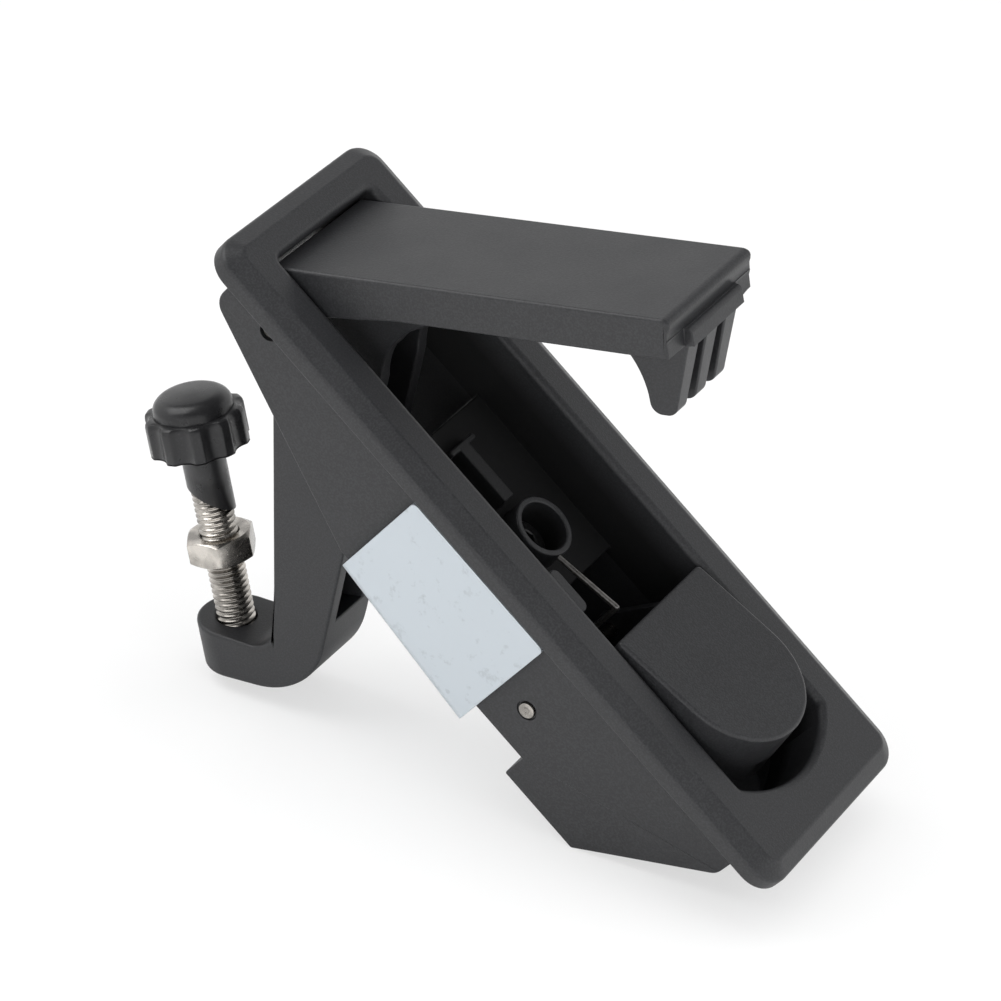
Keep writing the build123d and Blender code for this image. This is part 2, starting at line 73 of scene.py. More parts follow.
MM = 0.001
OPEN_ANGLE = math.radians(48.82)
PIVOT_X, PIVOT_Z = -62.15, -6.7
PIVOT = Vector((PIVOT_X, 0.0, PIVOT_Z)) * MM
LEVER_S = Vector((math.cos(OPEN_ANGLE), 0.0, math.sin(OPEN_ANGLE)))
LEVER_N = Vector((-math.sin(OPEN_ANGLE), 0.0, math.cos(OPEN_ANGLE)))
SCREW_LEAN = math.radians(1.8)
SCREW_UP = LEVER_N * math.cos(SCREW_LEAN) - LEVER_S * math.sin(SCREW_LEAN)
SCREW_ACROSS = LEVER_S * math.cos(SCREW_LEAN) + LEVER_N * math.sin(SCREW_LEAN)
SCREW_BASE_LEVEL = -45.0
SCREW_BASE = PIVOT + LEVER_S * (-36.5 * MM) + LEVER_N * (SCREW_BASE_LEVEL * MM)
BOSS_X = 0.42
ALONG_X, ALONG_Y, ALONG_Z = Vector((1, 0, 0)), Vector((0, 1, 0)), Vector((0, 0, 1))
FLOOR_NORMAL = Vector((-0.644195, 0.0, 0.764861))
FLOOR_REACH = 61.5
HANDLE_FRONT = 87.72
PAN_SIDE = 19.0
PAN_CORE = 17.5
BUTTON_PIN_X, BUTTON_PIN_Z = 24.93, -21.33
BUTTON_TILT = math.radians(9.28)
BUTTON_EDGE = Vector((25.75, 0.0, 5.98)) * MM
BUTTON_ALONG = Vector((math.cos(BUTTON_TILT), 0.0, math.sin(BUTTON_TILT)))
BUTTON_UP = Vector((-math.sin(BUTTON_TILT), 0.0, math.cos(BUTTON_TILT)))
SKIRT_START, SKIRT_END = 8.6, 14.4
SPRING_TURN = math.radians(45)
SPRING_ASIDE = -3.15
FLOOR_UNDER = -11.0
CAMERA_PLACE = Vector((-0.0175325, -0.633273, 0.587430))
CAMERA_RIGHT = Vector((0.65743, 0.51129, 0.55351))
CAMERA_DOWN = Vector((0.75345, -0.45580, -0.47387))
CAMERA_AHEAD = Vector((0.01001, 0.72858, -0.68489))
VIEW_HALF_WIDTH, VIEW_DISTANCE = 500.5, 4486.586


# ------------------------------------------------------------------ sizes and colours
class LatchSizes(bpy.types.PropertyGroup):
    edge_round: bpy.props.FloatProperty(
        name="Casting edge", description="Radius of the cast edges", default=0.0004,
        min=0.0001, max=0.001, unit="LENGTH")
    flange_round: bpy.props.FloatProperty(
        name="Flange edge", description="Radius of the flange's outer edges", default=0.0006,
        min=0.0002, max=0.001, unit="LENGTH")
    handle_nose: bpy.props.FloatProperty(
        name="Handle nose", description="Radius of the handle's front top edge", default=0.0018,
        min=0.0005, max=0.0025, unit="LENGTH")
    screw_pitch: bpy.props.FloatProperty(
        name="Screw pitch", description="Thread pitch of the adjusting screw", default=0.00125,
        min=0.0008, max=0.002, unit="LENGTH")
    screw_depth: bpy.props.FloatProperty(
        name="Thread depth", description="Depth of the adjusting screw's thread", default=0.0006,
        min=0.0002, max=0.0008, unit="LENGTH")
    clamp_pitch: bpy.props.FloatProperty(
        name="Clamp pitch", description="Thread pitch of the clamp screw", default=0.001,
        min=0.0005, max=0.0015, unit="LENGTH")
    sleeve_slant: bpy.props.FloatProperty(
        name="Sleeve slant", description="Angle of the plastic sleeve's lower end", default=0.62,
        min=0.0, max=0.8, subtype="ANGLE")


class LatchColours(bpy.types.PropertyGroup):
    coat: bpy.props.FloatVectorProperty(
        name="Powder coat", description="Body of the powder coat", subtype="COLOR", size=3,
        default=(0.0155, 0.0158, 0.0172), min=0.0, max=1.0)
    coat_light: bpy.props.FloatVectorProperty(
        name="Coat highlights", description="Lighter grains of the powder coat", subtype="COLOR",
        size=3, default=(0.0265, 0.0271, 0.0293), min=0.0, max=1.0)
    bare: bpy.props.FloatVectorProperty(
        name="Worn metal", description="Metal that shows where the coat is rubbed", subtype="COLOR",
        size=3, default=(0.42, 0.42, 0.43), min=0.0, max=1.0)
    nickel: bpy.props.FloatVectorProperty(
        name="Nickel", description="Plating of the screw, nut and pins", subtype="COLOR", size=3,
        default=(0.62, 0.585, 0.54), min=0.0, max=1.0)
    zinc: bpy.props.FloatVectorProperty(
        name="Zinc", description="Plating of the bracket", subtype="COLOR", size=3,
        default=(0.525, 0.57, 0.607), min=0.0, max=1.0)
    plastic: bpy.props.FloatVectorProperty(
        name="Plastic", description="Knob and sleeve moulding", subtype="COLOR", size=3,
        default=(0.014, 0.014, 0.015), min=0.0, max=1.0)
    steel: bpy.props.FloatVectorProperty(
        name="Blackened steel", description="Clamp screw and arm screws", subtype="COLOR", size=3,
        default=(0.07, 0.07, 0.072), min=0.0, max=1.0)
    wire: bpy.props.FloatVectorProperty(
        name="Spring wire", description="Drawn spring wire", subtype="COLOR", size=3,
        default=(0.30, 0.29, 0.28), min=0.0, max=1.0)


# ------------------------------------------------------------------ finishes
class Flow:
    """A number or vector that runs through a finish. Sums written on it add the nodes."""

    def __init__(self, finish, socket):
        self.finish = finish
        self.socket = socket

    def _sum(self, operation, first, second):
        return self.finish.add("ShaderNodeMath", {"operation": operation}, {0: first, 1: second})

    def __add__(self, other):
        return self._sum("ADD", self, other)

    def __sub__(self, other):
        return self._sum("SUBTRACT", self, other)

    def __rsub__(self, other):
        return self._sum("SUBTRACT", other, self)

    def __mul__(self, other):
        return self._sum("MULTIPLY", self, other)

    def __truediv__(self, other):
        return self._sum("DIVIDE", self, other)

    def __gt__(self, other):
        return self._sum("GREATER_THAN", self, other)

    __radd__ = __add__
    __rmul__ = __mul__


class Finish:
    """A procedural material that grows node by node."""

    def __init__(self, name):
        self.material = bpy.data.materials.new(name)
        self.material.use_nodes = True
        self.tree = self.material.node_tree
        self.shader = self.tree.nodes["Principled BSDF"]
        self.spot = 0

    def add(self, kind, settings=None, inputs=None, out=0):
        node = self.tree.nodes.new(kind)
        self.spot += 1
        node.location = (-220 * (self.spot % 12) - 300, 260 - 180 * (self.spot // 12))
        for key, value in (settings or {}).items():
            if key == "stops":
                ramp = node.color_ramp.elements
                while len(ramp) < len(value):
                    ramp.new(0.5)
                for stop, (place, tone) in zip(ramp, value):
                    stop.position = place
                    stop.color = (tone, tone, tone, 1.0)
            else:
                setattr(node, key, value)
        for key, value in (inputs or {}).items():
            self.join(value, node.inputs[key])
        return Flow(self, node.outputs[out])

    def join(self, value, socket):
        if isinstance(value, Flow):
            self.tree.links.new(value.socket, socket)
        else:
            socket.default_value = value

    def place(self):
        return self.add("ShaderNodeTexCoord", out="Object")

    def grain(self, place, scale, detail=2.0, rough=0.5):
        return self.add(
            "ShaderNodeTexNoise", {"noise_dimensions": "3D"},
            {"Vector": place, "Scale": scale, "Detail": detail, "Roughness": rough})

    def ramp(self, value, *stops):
        return self.add("ShaderNodeValToRGB", {"stops": stops}, {"Fac": value})

    def blend(self, share, low, high):
        return self.add(
            "ShaderNodeMix", {"data_type": "RGBA"},
            {0: share, 6: low, 7: high}, out=2)

    def bump(self, height, strength, distance):
        return self.add(
            "ShaderNodeBump", None,
            {"Height": height, "Strength": strength, "Distance": distance}, out="Normal")

    def near_line(self, place, start, end, reach):
        """1 on the line between two points, fading to 0 at the given reach."""
        start = Vector(start) * MM
        along = Vector(end) * MM - start
        length = along.length
        along.normalize()
        rel = self.add(
            "ShaderNodeVectorMath", {"operation": "SUBTRACT"}, {0: place, 1: start[:]})
        run = self.add(
            "ShaderNodeVectorMath", {"operation": "DOT_PRODUCT"}, {0: rel, 1: along[:]}, "Value")
        held = self.add("ShaderNodeClamp", None, {"Value": run, "Min": 0.0, "Max": length})
        foot = self.add(
            "ShaderNodeVectorMath", {"operation": "SCALE"}, {0: along[:], "Scale": held})
        gap = self.add(
            "ShaderNodeVectorMath", {"operation": "DISTANCE"}, {0: rel, 1: foot}, "Value")
        return self.add(
            "ShaderNodeMapRange", None,
            {"Value": gap, "From Min": 0.0, "From Max": reach * MM, "To Min": 1.0, "To Max": 0.0})

    def finish(self, colour, rough, metallic=0.0, normal=None, **constants):
        self.join(colour, self.shader.inputs["Base Color"])
        self.join(rough, self.shader.inputs["Roughness"])
        self.join(metallic, self.shader.inputs["Metallic"])
        if normal is not None:
            self.join(normal, self.shader.inputs["Normal"])
        for key, value in constants.items():
            self.shader.inputs[key.replace("_", " ")].default_value = value
        return self.material


def rgba(colour):
    return (colour[0], colour[1], colour[2], 1.0)


def powder_coat(name, wear=(), shaded=None):
    """Dark grey powder coat with an even fine grain, rubbed through along the given lines.

    Where shaded is 1 the coat is painted a quarter as dark, as painted shade in the tray's hollow, and
    made rougher."""
    tones = bpy.context.scene.latch_colours
    f = Finish(name)
    place = f.place()
    fine = f.grain(place, 2600.0, 1.0)
    cloud = f.grain(place, 90.0, 3.0)
    grains = f.ramp(fine, (0.42, 0.0), (0.66, 1.0))
    share = grains * 0.8 + f.ramp(cloud, (0.35, 0.0), (0.7, 1.0)) * 0.2
    colour = f.blend(share, rgba(tones.coat), rgba(tones.coat_light))
    rough = 0.38 + cloud * 0.14
    if shaded is not None:
        # painted shade: where the mask is 1 the coat colour is darkened to stand in for the shade
        # inside the tray
        painted_shade = shaded(f, place)
        colour = f.blend(painted_shade, colour, rgba([c * 0.25 for c in tones.coat]))
        rough = rough + painted_shade * 0.25
    metal = 0.0
    speck = f.grain(place, 1500.0, 3.0, 0.7)
    for start, end, reach, amount in wear:
        near = f.near_line(place, start, end, reach)
        worn = near * 0.55 + speck * 0.62 + (amount - 0.5)
        rub = f.ramp(worn, (0.60, 0.0), (0.66, 1.0)) * (near > 0.02)
        colour = f.blend(rub, colour, rgba(tones.bare))
        metal = rub * 0.8 + metal
    normal = f.bump(fine * 0.7 + speck * 0.3, 0.35, 0.00012)
    return f.finish(colour, rough, metal, normal, Specular_IOR_Level=0.45)


def tray_painted_shade(f, place):
    """Painted shade: 1 on the tray's floor and walls, where shade falls inside the hollow, 0 on its rim
    and on everything outside.
    """
    height = f.add("ShaderNodeSeparateXYZ", None, {"Vector": place}, out="Z")
    across = Flow(f, height.socket.node.outputs["Y"])
    depth = f.add(
        "ShaderNodeMapRange", None,
        {"Value": height, "From Min": -3.7 * MM, "From Max": -7.0 * MM, "To Min": 0.0, "To Max": 1.0})
    aside = f.add("ShaderNodeMath", {"operation": "ABSOLUTE"}, {0: across})
    wall = f.add(
        "ShaderNodeMapRange", None,
        {"Value": height, "From Min": 3.2 * MM, "From Max": -1.5 * MM, "To Min": 0.0, "To Max": 1.0})
    dark = depth + wall * (aside > 13.4 * MM) * (1.0 - depth)
    return dark * (aside * -1.0 > -PAN_CORE * MM) * (height > FLOOR_UNDER * MM)


def nickel_plate(name):
    """Warm bright nickel with faint drawing marks."""
    tones = bpy.context.scene.latch_colours
    f = Finish(name)
    place = f.place()
    mark = f.grain(place, 900.0, 4.0, 0.6)
    cloud = f.grain(place, 160.0, 3.0)
    dull = tuple(c * 0.45 for c in tones.nickel)
    colour = f.blend(f.ramp(cloud, (0.38, 0.0), (0.62, 1.0)), rgba(dull), rgba(tones.nickel))
    return f.finish(colour, mark * 0.22 + 0.14, 1.0, f.bump(mark, 0.15, 0.00005))


def zinc_plate(name):
    """Bright bluish zinc sheet with hairline scratches and small dull spots."""
    tones = bpy.context.scene.latch_colours
    f = Finish(name)
    place = f.place()
    turned = f.add(
        "ShaderNodeMapping", None,
        {"Vector": place, "Rotation": (0.3, 0.9, 0.4), "Scale": (1.0, 14.0, 1.0)})
    hair = f.grain(turned, 260.0, 5.0, 0.65)
    spot = f.grain(place, 420.0, 2.0)
    cloud = f.grain(place, 45.0, 3.0)
    scratch = f.ramp(hair, (0.60, 0.0), (0.68, 1.0))
    dull = f.ramp(spot, (0.66, 0.0), (0.74, 1.0))
    shade = tuple(c * 0.72 for c in tones.zinc)
    colour = f.blend(scratch * 0.5 + dull * 0.5, rgba(tones.zinc), rgba(shade))
    return f.finish(colour, cloud * 0.2 + 0.28, 0.75, f.bump(hair, 0.12, 0.00004))


def moulded_plastic(name):
    """Semi-gloss black moulding with a faint flow texture."""
    tones = bpy.context.scene.latch_colours
    f = Finish(name)
    place = f.place()
    flow = f.grain(place, 380.0, 4.0, 0.6)
    dust = f.grain(place, 2400.0, 1.0)
    grey = tuple(c * 2.6 for c in tones.plastic)
    colour = f.blend(f.ramp(dust, (0.55, 0.0), (0.8, 1.0)) * 0.5, rgba(tones.plastic), rgba(grey))
    return f.finish(
        colour, flow * 0.2 + 0.2, 0.0, f.bump(flow, 0.12, 0.0001), Specular_IOR_Level=0.4)


def drawn_steel(name, tone, low=0.3):
    """Steel wire or blackened fastener with a fine uneven surface."""
    f = Finish(name)
    place = f.place()
    mark = f.grain(place, 1200.0, 3.0)
    dark = tuple(c * 0.6 for c in tone)
    colour = f.blend(f.ramp(mark, (0.35, 0.0), (0.65, 1.0)), rgba(dark), rgba(tone))
    return f.finish(colour, mark * 0.2 + low, 0.9, f.bump(mark, 0.15, 0.00004))


def dress(obj, material):
    """Gives an object one finish all over."""
    obj.data.materials.clear()
    obj.data.materials.append(material)


# ------------------------------------------------------------------ bench work
def put_down():
    """Leaves edit mode with nothing selected."""
    if bpy.context.object and bpy.context.object.mode == "EDIT":
        bpy.ops.object.mode_set(mode="OBJECT")
    bpy.ops.object.select_all(action="DESELECT")


def pick_up(obj):
    put_down()
    obj.select_set(True)
    bpy.context.view_layer.objects.active = obj


def cast_copy(node, name):
    """A merged copy of a frame node, ready to be softened."""
    pick_up(frame["nodes"][node])
    bpy.ops.object.duplicate()
    piece = bpy.context.object
    piece.name = name
    piece.parent = None
    piece.matrix_world = Matrix.Identity(4)
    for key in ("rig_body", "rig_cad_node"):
        del piece[key]
    bpy.ops.object.mode_set(mode="EDIT")
    bpy.ops.mesh.select_all(action="SELECT")
    bpy.ops.mesh.remove_doubles(threshold=0.000002)
    bpy.ops.mesh.dissolve_limited(angle_limit=math.radians(0.6))
    bpy.ops.object.mode_set(mode="OBJECT")
    return piece


def edge_sides(mesh):
    """Faces on either side of every edge."""
    sides = {}
    for face in mesh.polygons:
        for key in face.edge_keys:
            sides.setdefault(key, []).append(face)
    return sides


def room_beside(mesh, key, faces, sharp_keys):
    """How far an edge can be rounded before it meets the next corner of a face beside it."""
    room = 1.0
    for face in faces:
        for end, start in (key, key[::-1]):
            along = (mesh.vertices[start].co - mesh.vertices[end].co).normalized()
            for other in face.edge_keys:
                if end not in other or set(other) == set(key):
                    continue
                far = other[0] if other[1] == end else other[1]
                side = mesh.vertices[far].co - mesh.vertices[end].co
                turn_angle = along.angle(side, 0.0)
                if turn_angle > math.radians(140):
                    continue
                share = 0.45 if other in sharp_keys else 0.85
                room = min(room, side.length * math.sin(turn_angle) * share)
    return room


def soften(piece, radii, sharp=28.0, segments=3):
    """Rounds the sharp edges. Each (test, radius) pair is tried in turn on an edge's middle point."""
    mesh = piece.data
    largest = max(radius for _, radius in radii)
    sides = edge_sides(mesh)
    sharp_keys = {
        key for key, faces in sides.items()
        if len(faces) == 2 and faces[0].normal.angle(faces[1].normal, 0.0) > math.radians(sharp)}
    weights = mesh.attributes.new("bevel_weight_edge", "FLOAT", "EDGE")
    for edge in mesh.edges:
        key = tuple(sorted(edge.vertices))
        if key not in sharp_keys:
            continue
        middle = (mesh.vertices[key[0]].co + mesh.vertices[key[1]].co) / 2
        for test, radius in radii:
            if test(middle / MM):
                room = room_beside(mesh, key, sides[key], sharp_keys)
                weights.data[edge.index].value = min(radius, room) / largest
                break
    pick_up(piece)
    bevel = piece.modifiers.new("edges", "BEVEL")
    bevel.limit_method = "WEIGHT"
    bevel.width = largest
    bevel.segments = segments
    bevel.use_clamp_overlap = False
    bpy.ops.object.modifier_apply(modifier=bevel.name)
    bpy.ops.object.shade_smooth_by_angle(angle=math.radians(30))
    flat = piece.modifiers.new("flat", "WEIGHTED_NORMAL")
    flat.keep_sharp = True
    bpy.ops.object.modifier_apply(modifier=flat.name)
    return piece


def trace(points, closed=False):
    """Draws a line of points by extruding one corner of a new plane."""
    put_down()
    points = [Vector(point) * MM for point in points]
    bpy.ops.mesh.primitive_plane_add(size=0.001, location=points[0])
    line = bpy.context.object
    bpy.ops.object.mode_set(mode="EDIT")
    bpy.ops.mesh.select_mode(type="VERT")
    bpy.ops.mesh.select_all(action="SELECT")
    bpy.ops.mesh.merge(type="CENTER")
    for before, after in zip(points, points[1:]):
        bpy.ops.mesh.extrude_region_move(TRANSFORM_OT_translate={"value": after - before})
    if closed:
        bpy.ops.mesh.select_all(action="SELECT")
        bpy.ops.mesh.edge_face_add()
    bpy.ops.object.mode_set(mode="OBJECT")
    bpy.ops.object.transform_apply(location=True, rotation=True, scale=True)
    return line


def raise_face(piece, levels):
    """Draws a flat face upwards through (rise, scale) steps about the Z axis."""
    bpy.ops.object.mode_set(mode="EDIT")
    bpy.ops.mesh.select_all(action="SELECT")
    for rise, scale in levels:
        bpy.ops.mesh.extrude_region_move(TRANSFORM_OT_translate={"value": (0, 0, rise * MM)})
        bpy.ops.transform.resize(value=(scale, scale, 1), center_override=(0, 0, 0))
    bpy.ops.mesh.select_all(action="SELECT")
    bpy.ops.mesh.normals_make_consistent(inside=False)
    bpy.ops.object.mode_set(mode="OBJECT")
    return piece


def prism(name, outline, half_width):
    """A block along Y with the given outline in X and Z."""
    block = trace([(x, -half_width, z) for x, z in outline], closed=True)
    block.name = name
    bpy.ops.object.mode_set(mode="EDIT")
    bpy.ops.mesh.select_all(action="SELECT")
    bpy.ops.mesh.extrude_region_move(TRANSFORM_OT_translate={"value": (0, 2 * half_width * MM, 0)})
    bpy.ops.mesh.select_all(action="SELECT")
    bpy.ops.mesh.normals_make_consistent(inside=False)
    bpy.ops.object.mode_set(mode="OBJECT")
    return block


def turn(name, points, steps=64):
    """Turns a traced outline about Z, as on a lathe."""
    piece = trace([(reach, 0, height) for reach, height in points])
    piece.name = name
    bpy.ops.object.mode_set(mode="EDIT")
    bpy.ops.mesh.select_all(action="SELECT")
    bpy.ops.mesh.spin(steps=steps, angle=math.tau, center=(0, 0, 0), axis=(0, 0, 1))
    bpy.ops.mesh.select_all(action="SELECT")
    bpy.ops.mesh.remove_doubles(threshold=0.000004)
    bpy.ops.mesh.normals_make_consistent(inside=False)
    bpy.ops.object.mode_set(mode="OBJECT")
    bpy.ops.object.shade_smooth_by_angle(angle=math.radians(35))
    return piece


def cut(piece, tool, operation="DIFFERENCE"):
    """Cuts a piece with a tool shape and throws the tool away."""
    pick_up(piece)
    saw = piece.modifiers.new("cut", "BOOLEAN")
    saw.operation = operation
    saw.object = tool
    saw.solver = "EXACT"
    bpy.ops.object.modifier_apply(modifier=saw.name)
    bpy.data.objects.remove(tool)
    return piece


def settle(piece, origin, across, up):
    """Moves a piece made about Z to its place, and keeps that place in its mesh."""
    side = up.cross(across)
    piece.matrix_world = Matrix((
        (across.x, side.x, up.x, origin.x),
        (across.y, side.y, up.y, origin.y),
        (across.z, side.z, up.z, origin.z),
        (0, 0, 0, 1)))
    pick_up(piece)
    bpy.ops.object.transform_apply(location=True, rotation=True, scale=True)
    return piece


def screw_place(level):
    """The adjusting screw's middle at a height square to the handle, in millimetres."""
    return SCREW_BASE + SCREW_UP * ((level - SCREW_BASE_LEVEL) * MM)


def drop_slivers(piece):
    """Closes up faces too thin to see, and turns the rest to face outward."""
    pick_up(piece)
    bpy.ops.object.mode_set(mode="EDIT")
    bpy.ops.mesh.select_all(action="SELECT")
    bpy.ops.mesh.remove_doubles(threshold=0.000001)
    bpy.ops.mesh.dissolve_degenerate(threshold=0.000001)
    bpy.ops.mesh.select_all(action="SELECT")
    bpy.ops.mesh.normals_make_consistent(inside=False)
    bpy.ops.object.mode_set(mode="OBJECT")
    if sum(face.area * face.center.dot(face.normal) for face in piece.data.polygons) < 0:
        bpy.ops.object.mode_set(mode="EDIT")
        bpy.ops.mesh.flip_normals()
        bpy.ops.object.mode_set(mode="OBJECT")


def threaded_rod(name, radius, depth, pitch, length, tip):
    """A rod with a thread: one tooth is drawn and wound up a screw, then both ends are closed."""
    root = radius - depth
    crest = radius - depth * 0.06
    foot = root + depth * 0.12
    piece = trace([
        (root, 0, 0), (foot, 0, pitch * 0.16), (crest, 0, pitch * 0.44), (crest, 0, pitch * 0.56),
        (foot, 0, pitch * 0.84), (root, 0, pitch)])
    piece.name = name
    winding = piece.modifiers.new("thread", "SCREW")
    winding.angle = math.tau
    winding.screw_offset = pitch * MM
    turns = int((length - 2 * tip) / pitch) - 1
    winding.iterations = turns
    winding.steps = 40
    winding.render_steps = 40
    winding.use_merge_vertices = True
    winding.merge_threshold = 0.000003
    bpy.ops.object.modifier_apply(modifier=winding.name)
    top = pitch * turns
    bpy.ops.object.mode_set(mode="EDIT")
    bpy.ops.mesh.select_all(action="SELECT")
    bpy.ops.mesh.remove_doubles(threshold=0.000003)
    bpy.ops.object.mode_set(mode="OBJECT")
    for ending, level in ((-1, -tip), (1, top + pitch + tip)):
        close_end(piece, ending, level, top / 2, root * 0.93)
    drop_slivers(piece)
    bpy.ops.object.shade_smooth_by_angle(angle=math.radians(40))
    return piece


def close_end(piece, ending, level, middle, radius):
    """Draws one open end of a wound thread out to a flat disc at the given level."""
    mesh = piece.data
    uses = {}
    for face in mesh.polygons:
        for key in face.edge_keys:
            uses[key] = uses.get(key, 0) + 1
    bpy.ops.object.mode_set(mode="EDIT")
    bpy.ops.mesh.select_all(action="DESELECT")
    bpy.ops.mesh.select_mode(type="EDGE")
    bpy.ops.object.mode_set(mode="OBJECT")
    for edge in mesh.edges:
        height = mesh.vertices[edge.vertices[0]].co.z / MM
        is_open = uses.get(tuple(sorted(edge.vertices)), 0) == 1
        edge.select = is_open and (height - middle) * ending > 0
    bpy.ops.object.mode_set(mode="EDIT")
    bpy.ops.mesh.extrude_region_move(TRANSFORM_OT_translate={"value": (0, 0, 0)})
    bpy.ops.transform.resize(value=(1, 1, 0), center_override=(0, 0, level * MM))
    bpy.ops.object.mode_set(mode="OBJECT")
    chosen = {i for edge in mesh.edges if edge.select for i in edge.vertices}
    reach = max(math.hypot(mesh.vertices[i].co.x, mesh.vertices[i].co.y) for i in chosen)
    bpy.ops.object.mode_set(mode="EDIT")
    shrink = radius * MM / reach
    bpy.ops.transform.resize(value=(shrink, shrink, 1), center_override=(0, 0, level * MM))
    bpy.ops.mesh.edge_face_add()
    bpy.ops.object.mode_set(mode="OBJECT")


def hex_nut(name, flats, height, bore, pitch, turned):
    """A nut with both faces chamfered and an open threaded bore."""
    put_down()
    bpy.ops.mesh.primitive_cylinder_add(
        vertices=6, radius=flats * MM / math.sqrt(3), depth=height * MM,
        location=(0, 0, height * MM / 2), rotation=(0, 0, turned))
    nut = bpy.context.object
    nut.name = name
    bpy.ops.object.transform_apply(location=True, rotation=True, scale=True)
    corner = flats / math.sqrt(3)
    face = flats / 2 * 0.96
    drop = (corner - face) * math.tan(math.radians(30))
    barrel = turn("barrel", [
        (0, 0), (face, 0), (corner + 0.02, drop), (corner + 0.02, height - drop),
        (face, height), (0, height)], 96)
    cut(nut, barrel, "INTERSECT")
    pick_up(nut)
    edge = nut.modifiers.new("edge", "BEVEL")
    edge.width = 0.00012
    edge.segments = 2
    edge.limit_method = "ANGLE"
    edge.angle_limit = math.radians(40)
    bpy.ops.object.modifier_apply(modifier=edge.name)
    teeth = int(height / pitch)
    margin = (height - teeth * pitch) / 2
    wall = [(0, -1), (bore + 0.5, -1), (bore + 0.5, 0), (bore, margin)]
    for tooth in range(teeth):
        level = margin + pitch * tooth
        wall += [(bore + 0.35, level + pitch * 0.5), (bore, level + pitch)]
    wall += [(bore + 0.5, height), (bore + 0.5, height + 1), (0, height + 1)]
    cut(nut, turn("tap", wall, 48))
    drop_slivers(nut)
    bpy.ops.object.shade_smooth_by_angle(angle=math.radians(28))
    return nut


# ------------------------------------------------------------------ pieces
class LATCH_OT_housing(bpy.types.Operator):
    """Pan and flange casting with rounded edges"""
    bl_idname = "latch.housing"
    bl_label = "Housing casting"

    def execute(self, context):
        sizes = context.scene.latch_sizes
        edge, rim = sizes.edge_round, sizes.flange_round
        piece = cast_copy("housing", "housing_casting")
        for side in (-1, 1):
            put_down()
            bpy.ops.mesh.primitive_cylinder_add(
                vertices=48, radius=2.2 * MM, depth=2.0 * MM,
                location=(BUTTON_PIN_X * MM, side * (PAN_SIDE + 0.5) * MM, BUTTON_PIN_Z * MM),
                rotation=(math.pi / 2, 0, 0))
            cut(piece, bpy.context.object)
        soften(piece, [
            (near_bore, edge * 0.2),
            (lambda p: 3.2 < p.z < 3.6 and (abs(p.x) > 76.2 or abs(p.y) > 23.0), rim),
            (lambda p: True, edge)])
        # the housing's coat carries painted shade on the tray's floor and inner walls
        dress(piece, powder_coat("powder_coat_housing", [
            ((-76.2, -25.9, 4.2), (-78.6, -22.0, 4.3), 0.5, 0.17),
            ((-71.0, -19.4, 5.7), (-50.0, -19.4, 5.7), 0.4, 0.15),
            ((-72.6, -15.5, 3.6), (-72.6, -5.0, 3.6), 0.4, 0.22),
            ((-72.0, -26.8, 1.0), (60.0, -26.8, 1.0), 0.4, 0.06),
            ((8.0, -11.4, 0.8), (17.0, -11.4, 0.8), 0.5, 0.1)], tray_painted_shade))
        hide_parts("housing")
        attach(piece, "pan")
        return {"FINISHED"}


def near_bore(p):
    """True beside one of the two pin holes."""
    return abs(p.y) > 16 and (
        math.hypot(p.x - PIVOT_X, p.z - PIVOT_Z) < 3.2
        or math.hypot(p.x - BUTTON_PIN_X, p.z - BUTTON_PIN_Z) < 2.8)


def lever_point(p):
    """A point in millimetres as distances along and square to the handle."""
    rel = Vector(p) - PIVOT / MM
    return rel.dot(LEVER_S), rel.dot(LEVER_N)


def lever_place(s, n, y=0.0):
    """The point in millimetres at distances along and square to the handle."""
    return PIVOT / MM + LEVER_S * s + LEVER_N * n + Vector((0.0, y, 0.0))


class LATCH_OT_handle(bpy.types.Operator):
    """Lift handle casting with rounded edges"""
    bl_idname = "latch.handle"
    bl_label = "Lift handle"

    def execute(self, context):
        sizes = context.scene.latch_sizes
        edge, nose = sizes.edge_round, sizes.handle_nose
        piece = cast_copy("handle", "lift_handle")
        # hollow above the catch lip, then the parts of the front on either side of it
        recess = [
            (-2.2, 12.9), (-2.2, 12.46), (-1.4, 12.38), (-0.8, 12.12), (-0.45, 11.7),
            (-0.35, 11.2), (-0.5, 10.4), (-0.85, 9.5), (-1.1, 8.8), (-1.15, 8.12),
            (1.6, 8.12), (1.6, 12.9)]
        beside = [(-0.95, 8.3), (-1.25, 7.4), (-1.25, 5.0), (-0.85, -1.0), (1.7, -1.0), (1.7, 8.3)]
        for outline, half, offset in ((recess, 20.0, 0.0), (beside, 5.3, 15.0), (beside, 5.3, -15.0)):
            corners = [lever_place(HANDLE_FRONT + s, n) for s, n in outline]
            tool = prism("recess", [(p.x, p.z) for p in corners], half)
            tool.location.y = offset * MM
            cut(piece, tool)

        def catch_lip(p):
            s, n = lever_point(p)
            return s > 87.9 and 4.2 < n < 8.4 and abs(p.y) < 9.8

        def lip_foot(p):
            s, n = lever_point(p)
            return s > 86.0 and 3.0 < n < 4.8 and abs(p.y) < 10.3

        def front_corner(p):
            s, n = lever_point(p)
            return s > 86.0 and n > 4.0 and abs(p.y) > 15.8

        def top_side(p):
            return lever_point(p)[1] > 12.3 and abs(p.y) > 15.8

        soften(piece, [
            (lip_foot, 0.0), (catch_lip, nose * 0.45), (front_corner, nose * 0.45),
            (top_side, edge * 1.6), (lambda p: True, edge)])
        near = -16.0
        dress(piece, powder_coat("powder_coat_handle", [
            (lever_place(14.0, 12.4, near), lever_place(86.0, 12.4, near), 0.3, 0.15),
            (lever_place(86.8, 12.0, near), lever_place(86.6, 4.5, near), 0.35, 0.14),
            (lever_place(87.6, 8.1, -9.0), lever_place(87.6, 8.1, 9.0), 0.5, 0.12),
            (lever_place(86.0, 12.3, -14.0), lever_place(86.0, 12.3, 14.0), 0.35, 0.08)]))
        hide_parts("handle")
        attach(piece, "lever")
        return {"FINISHED"}


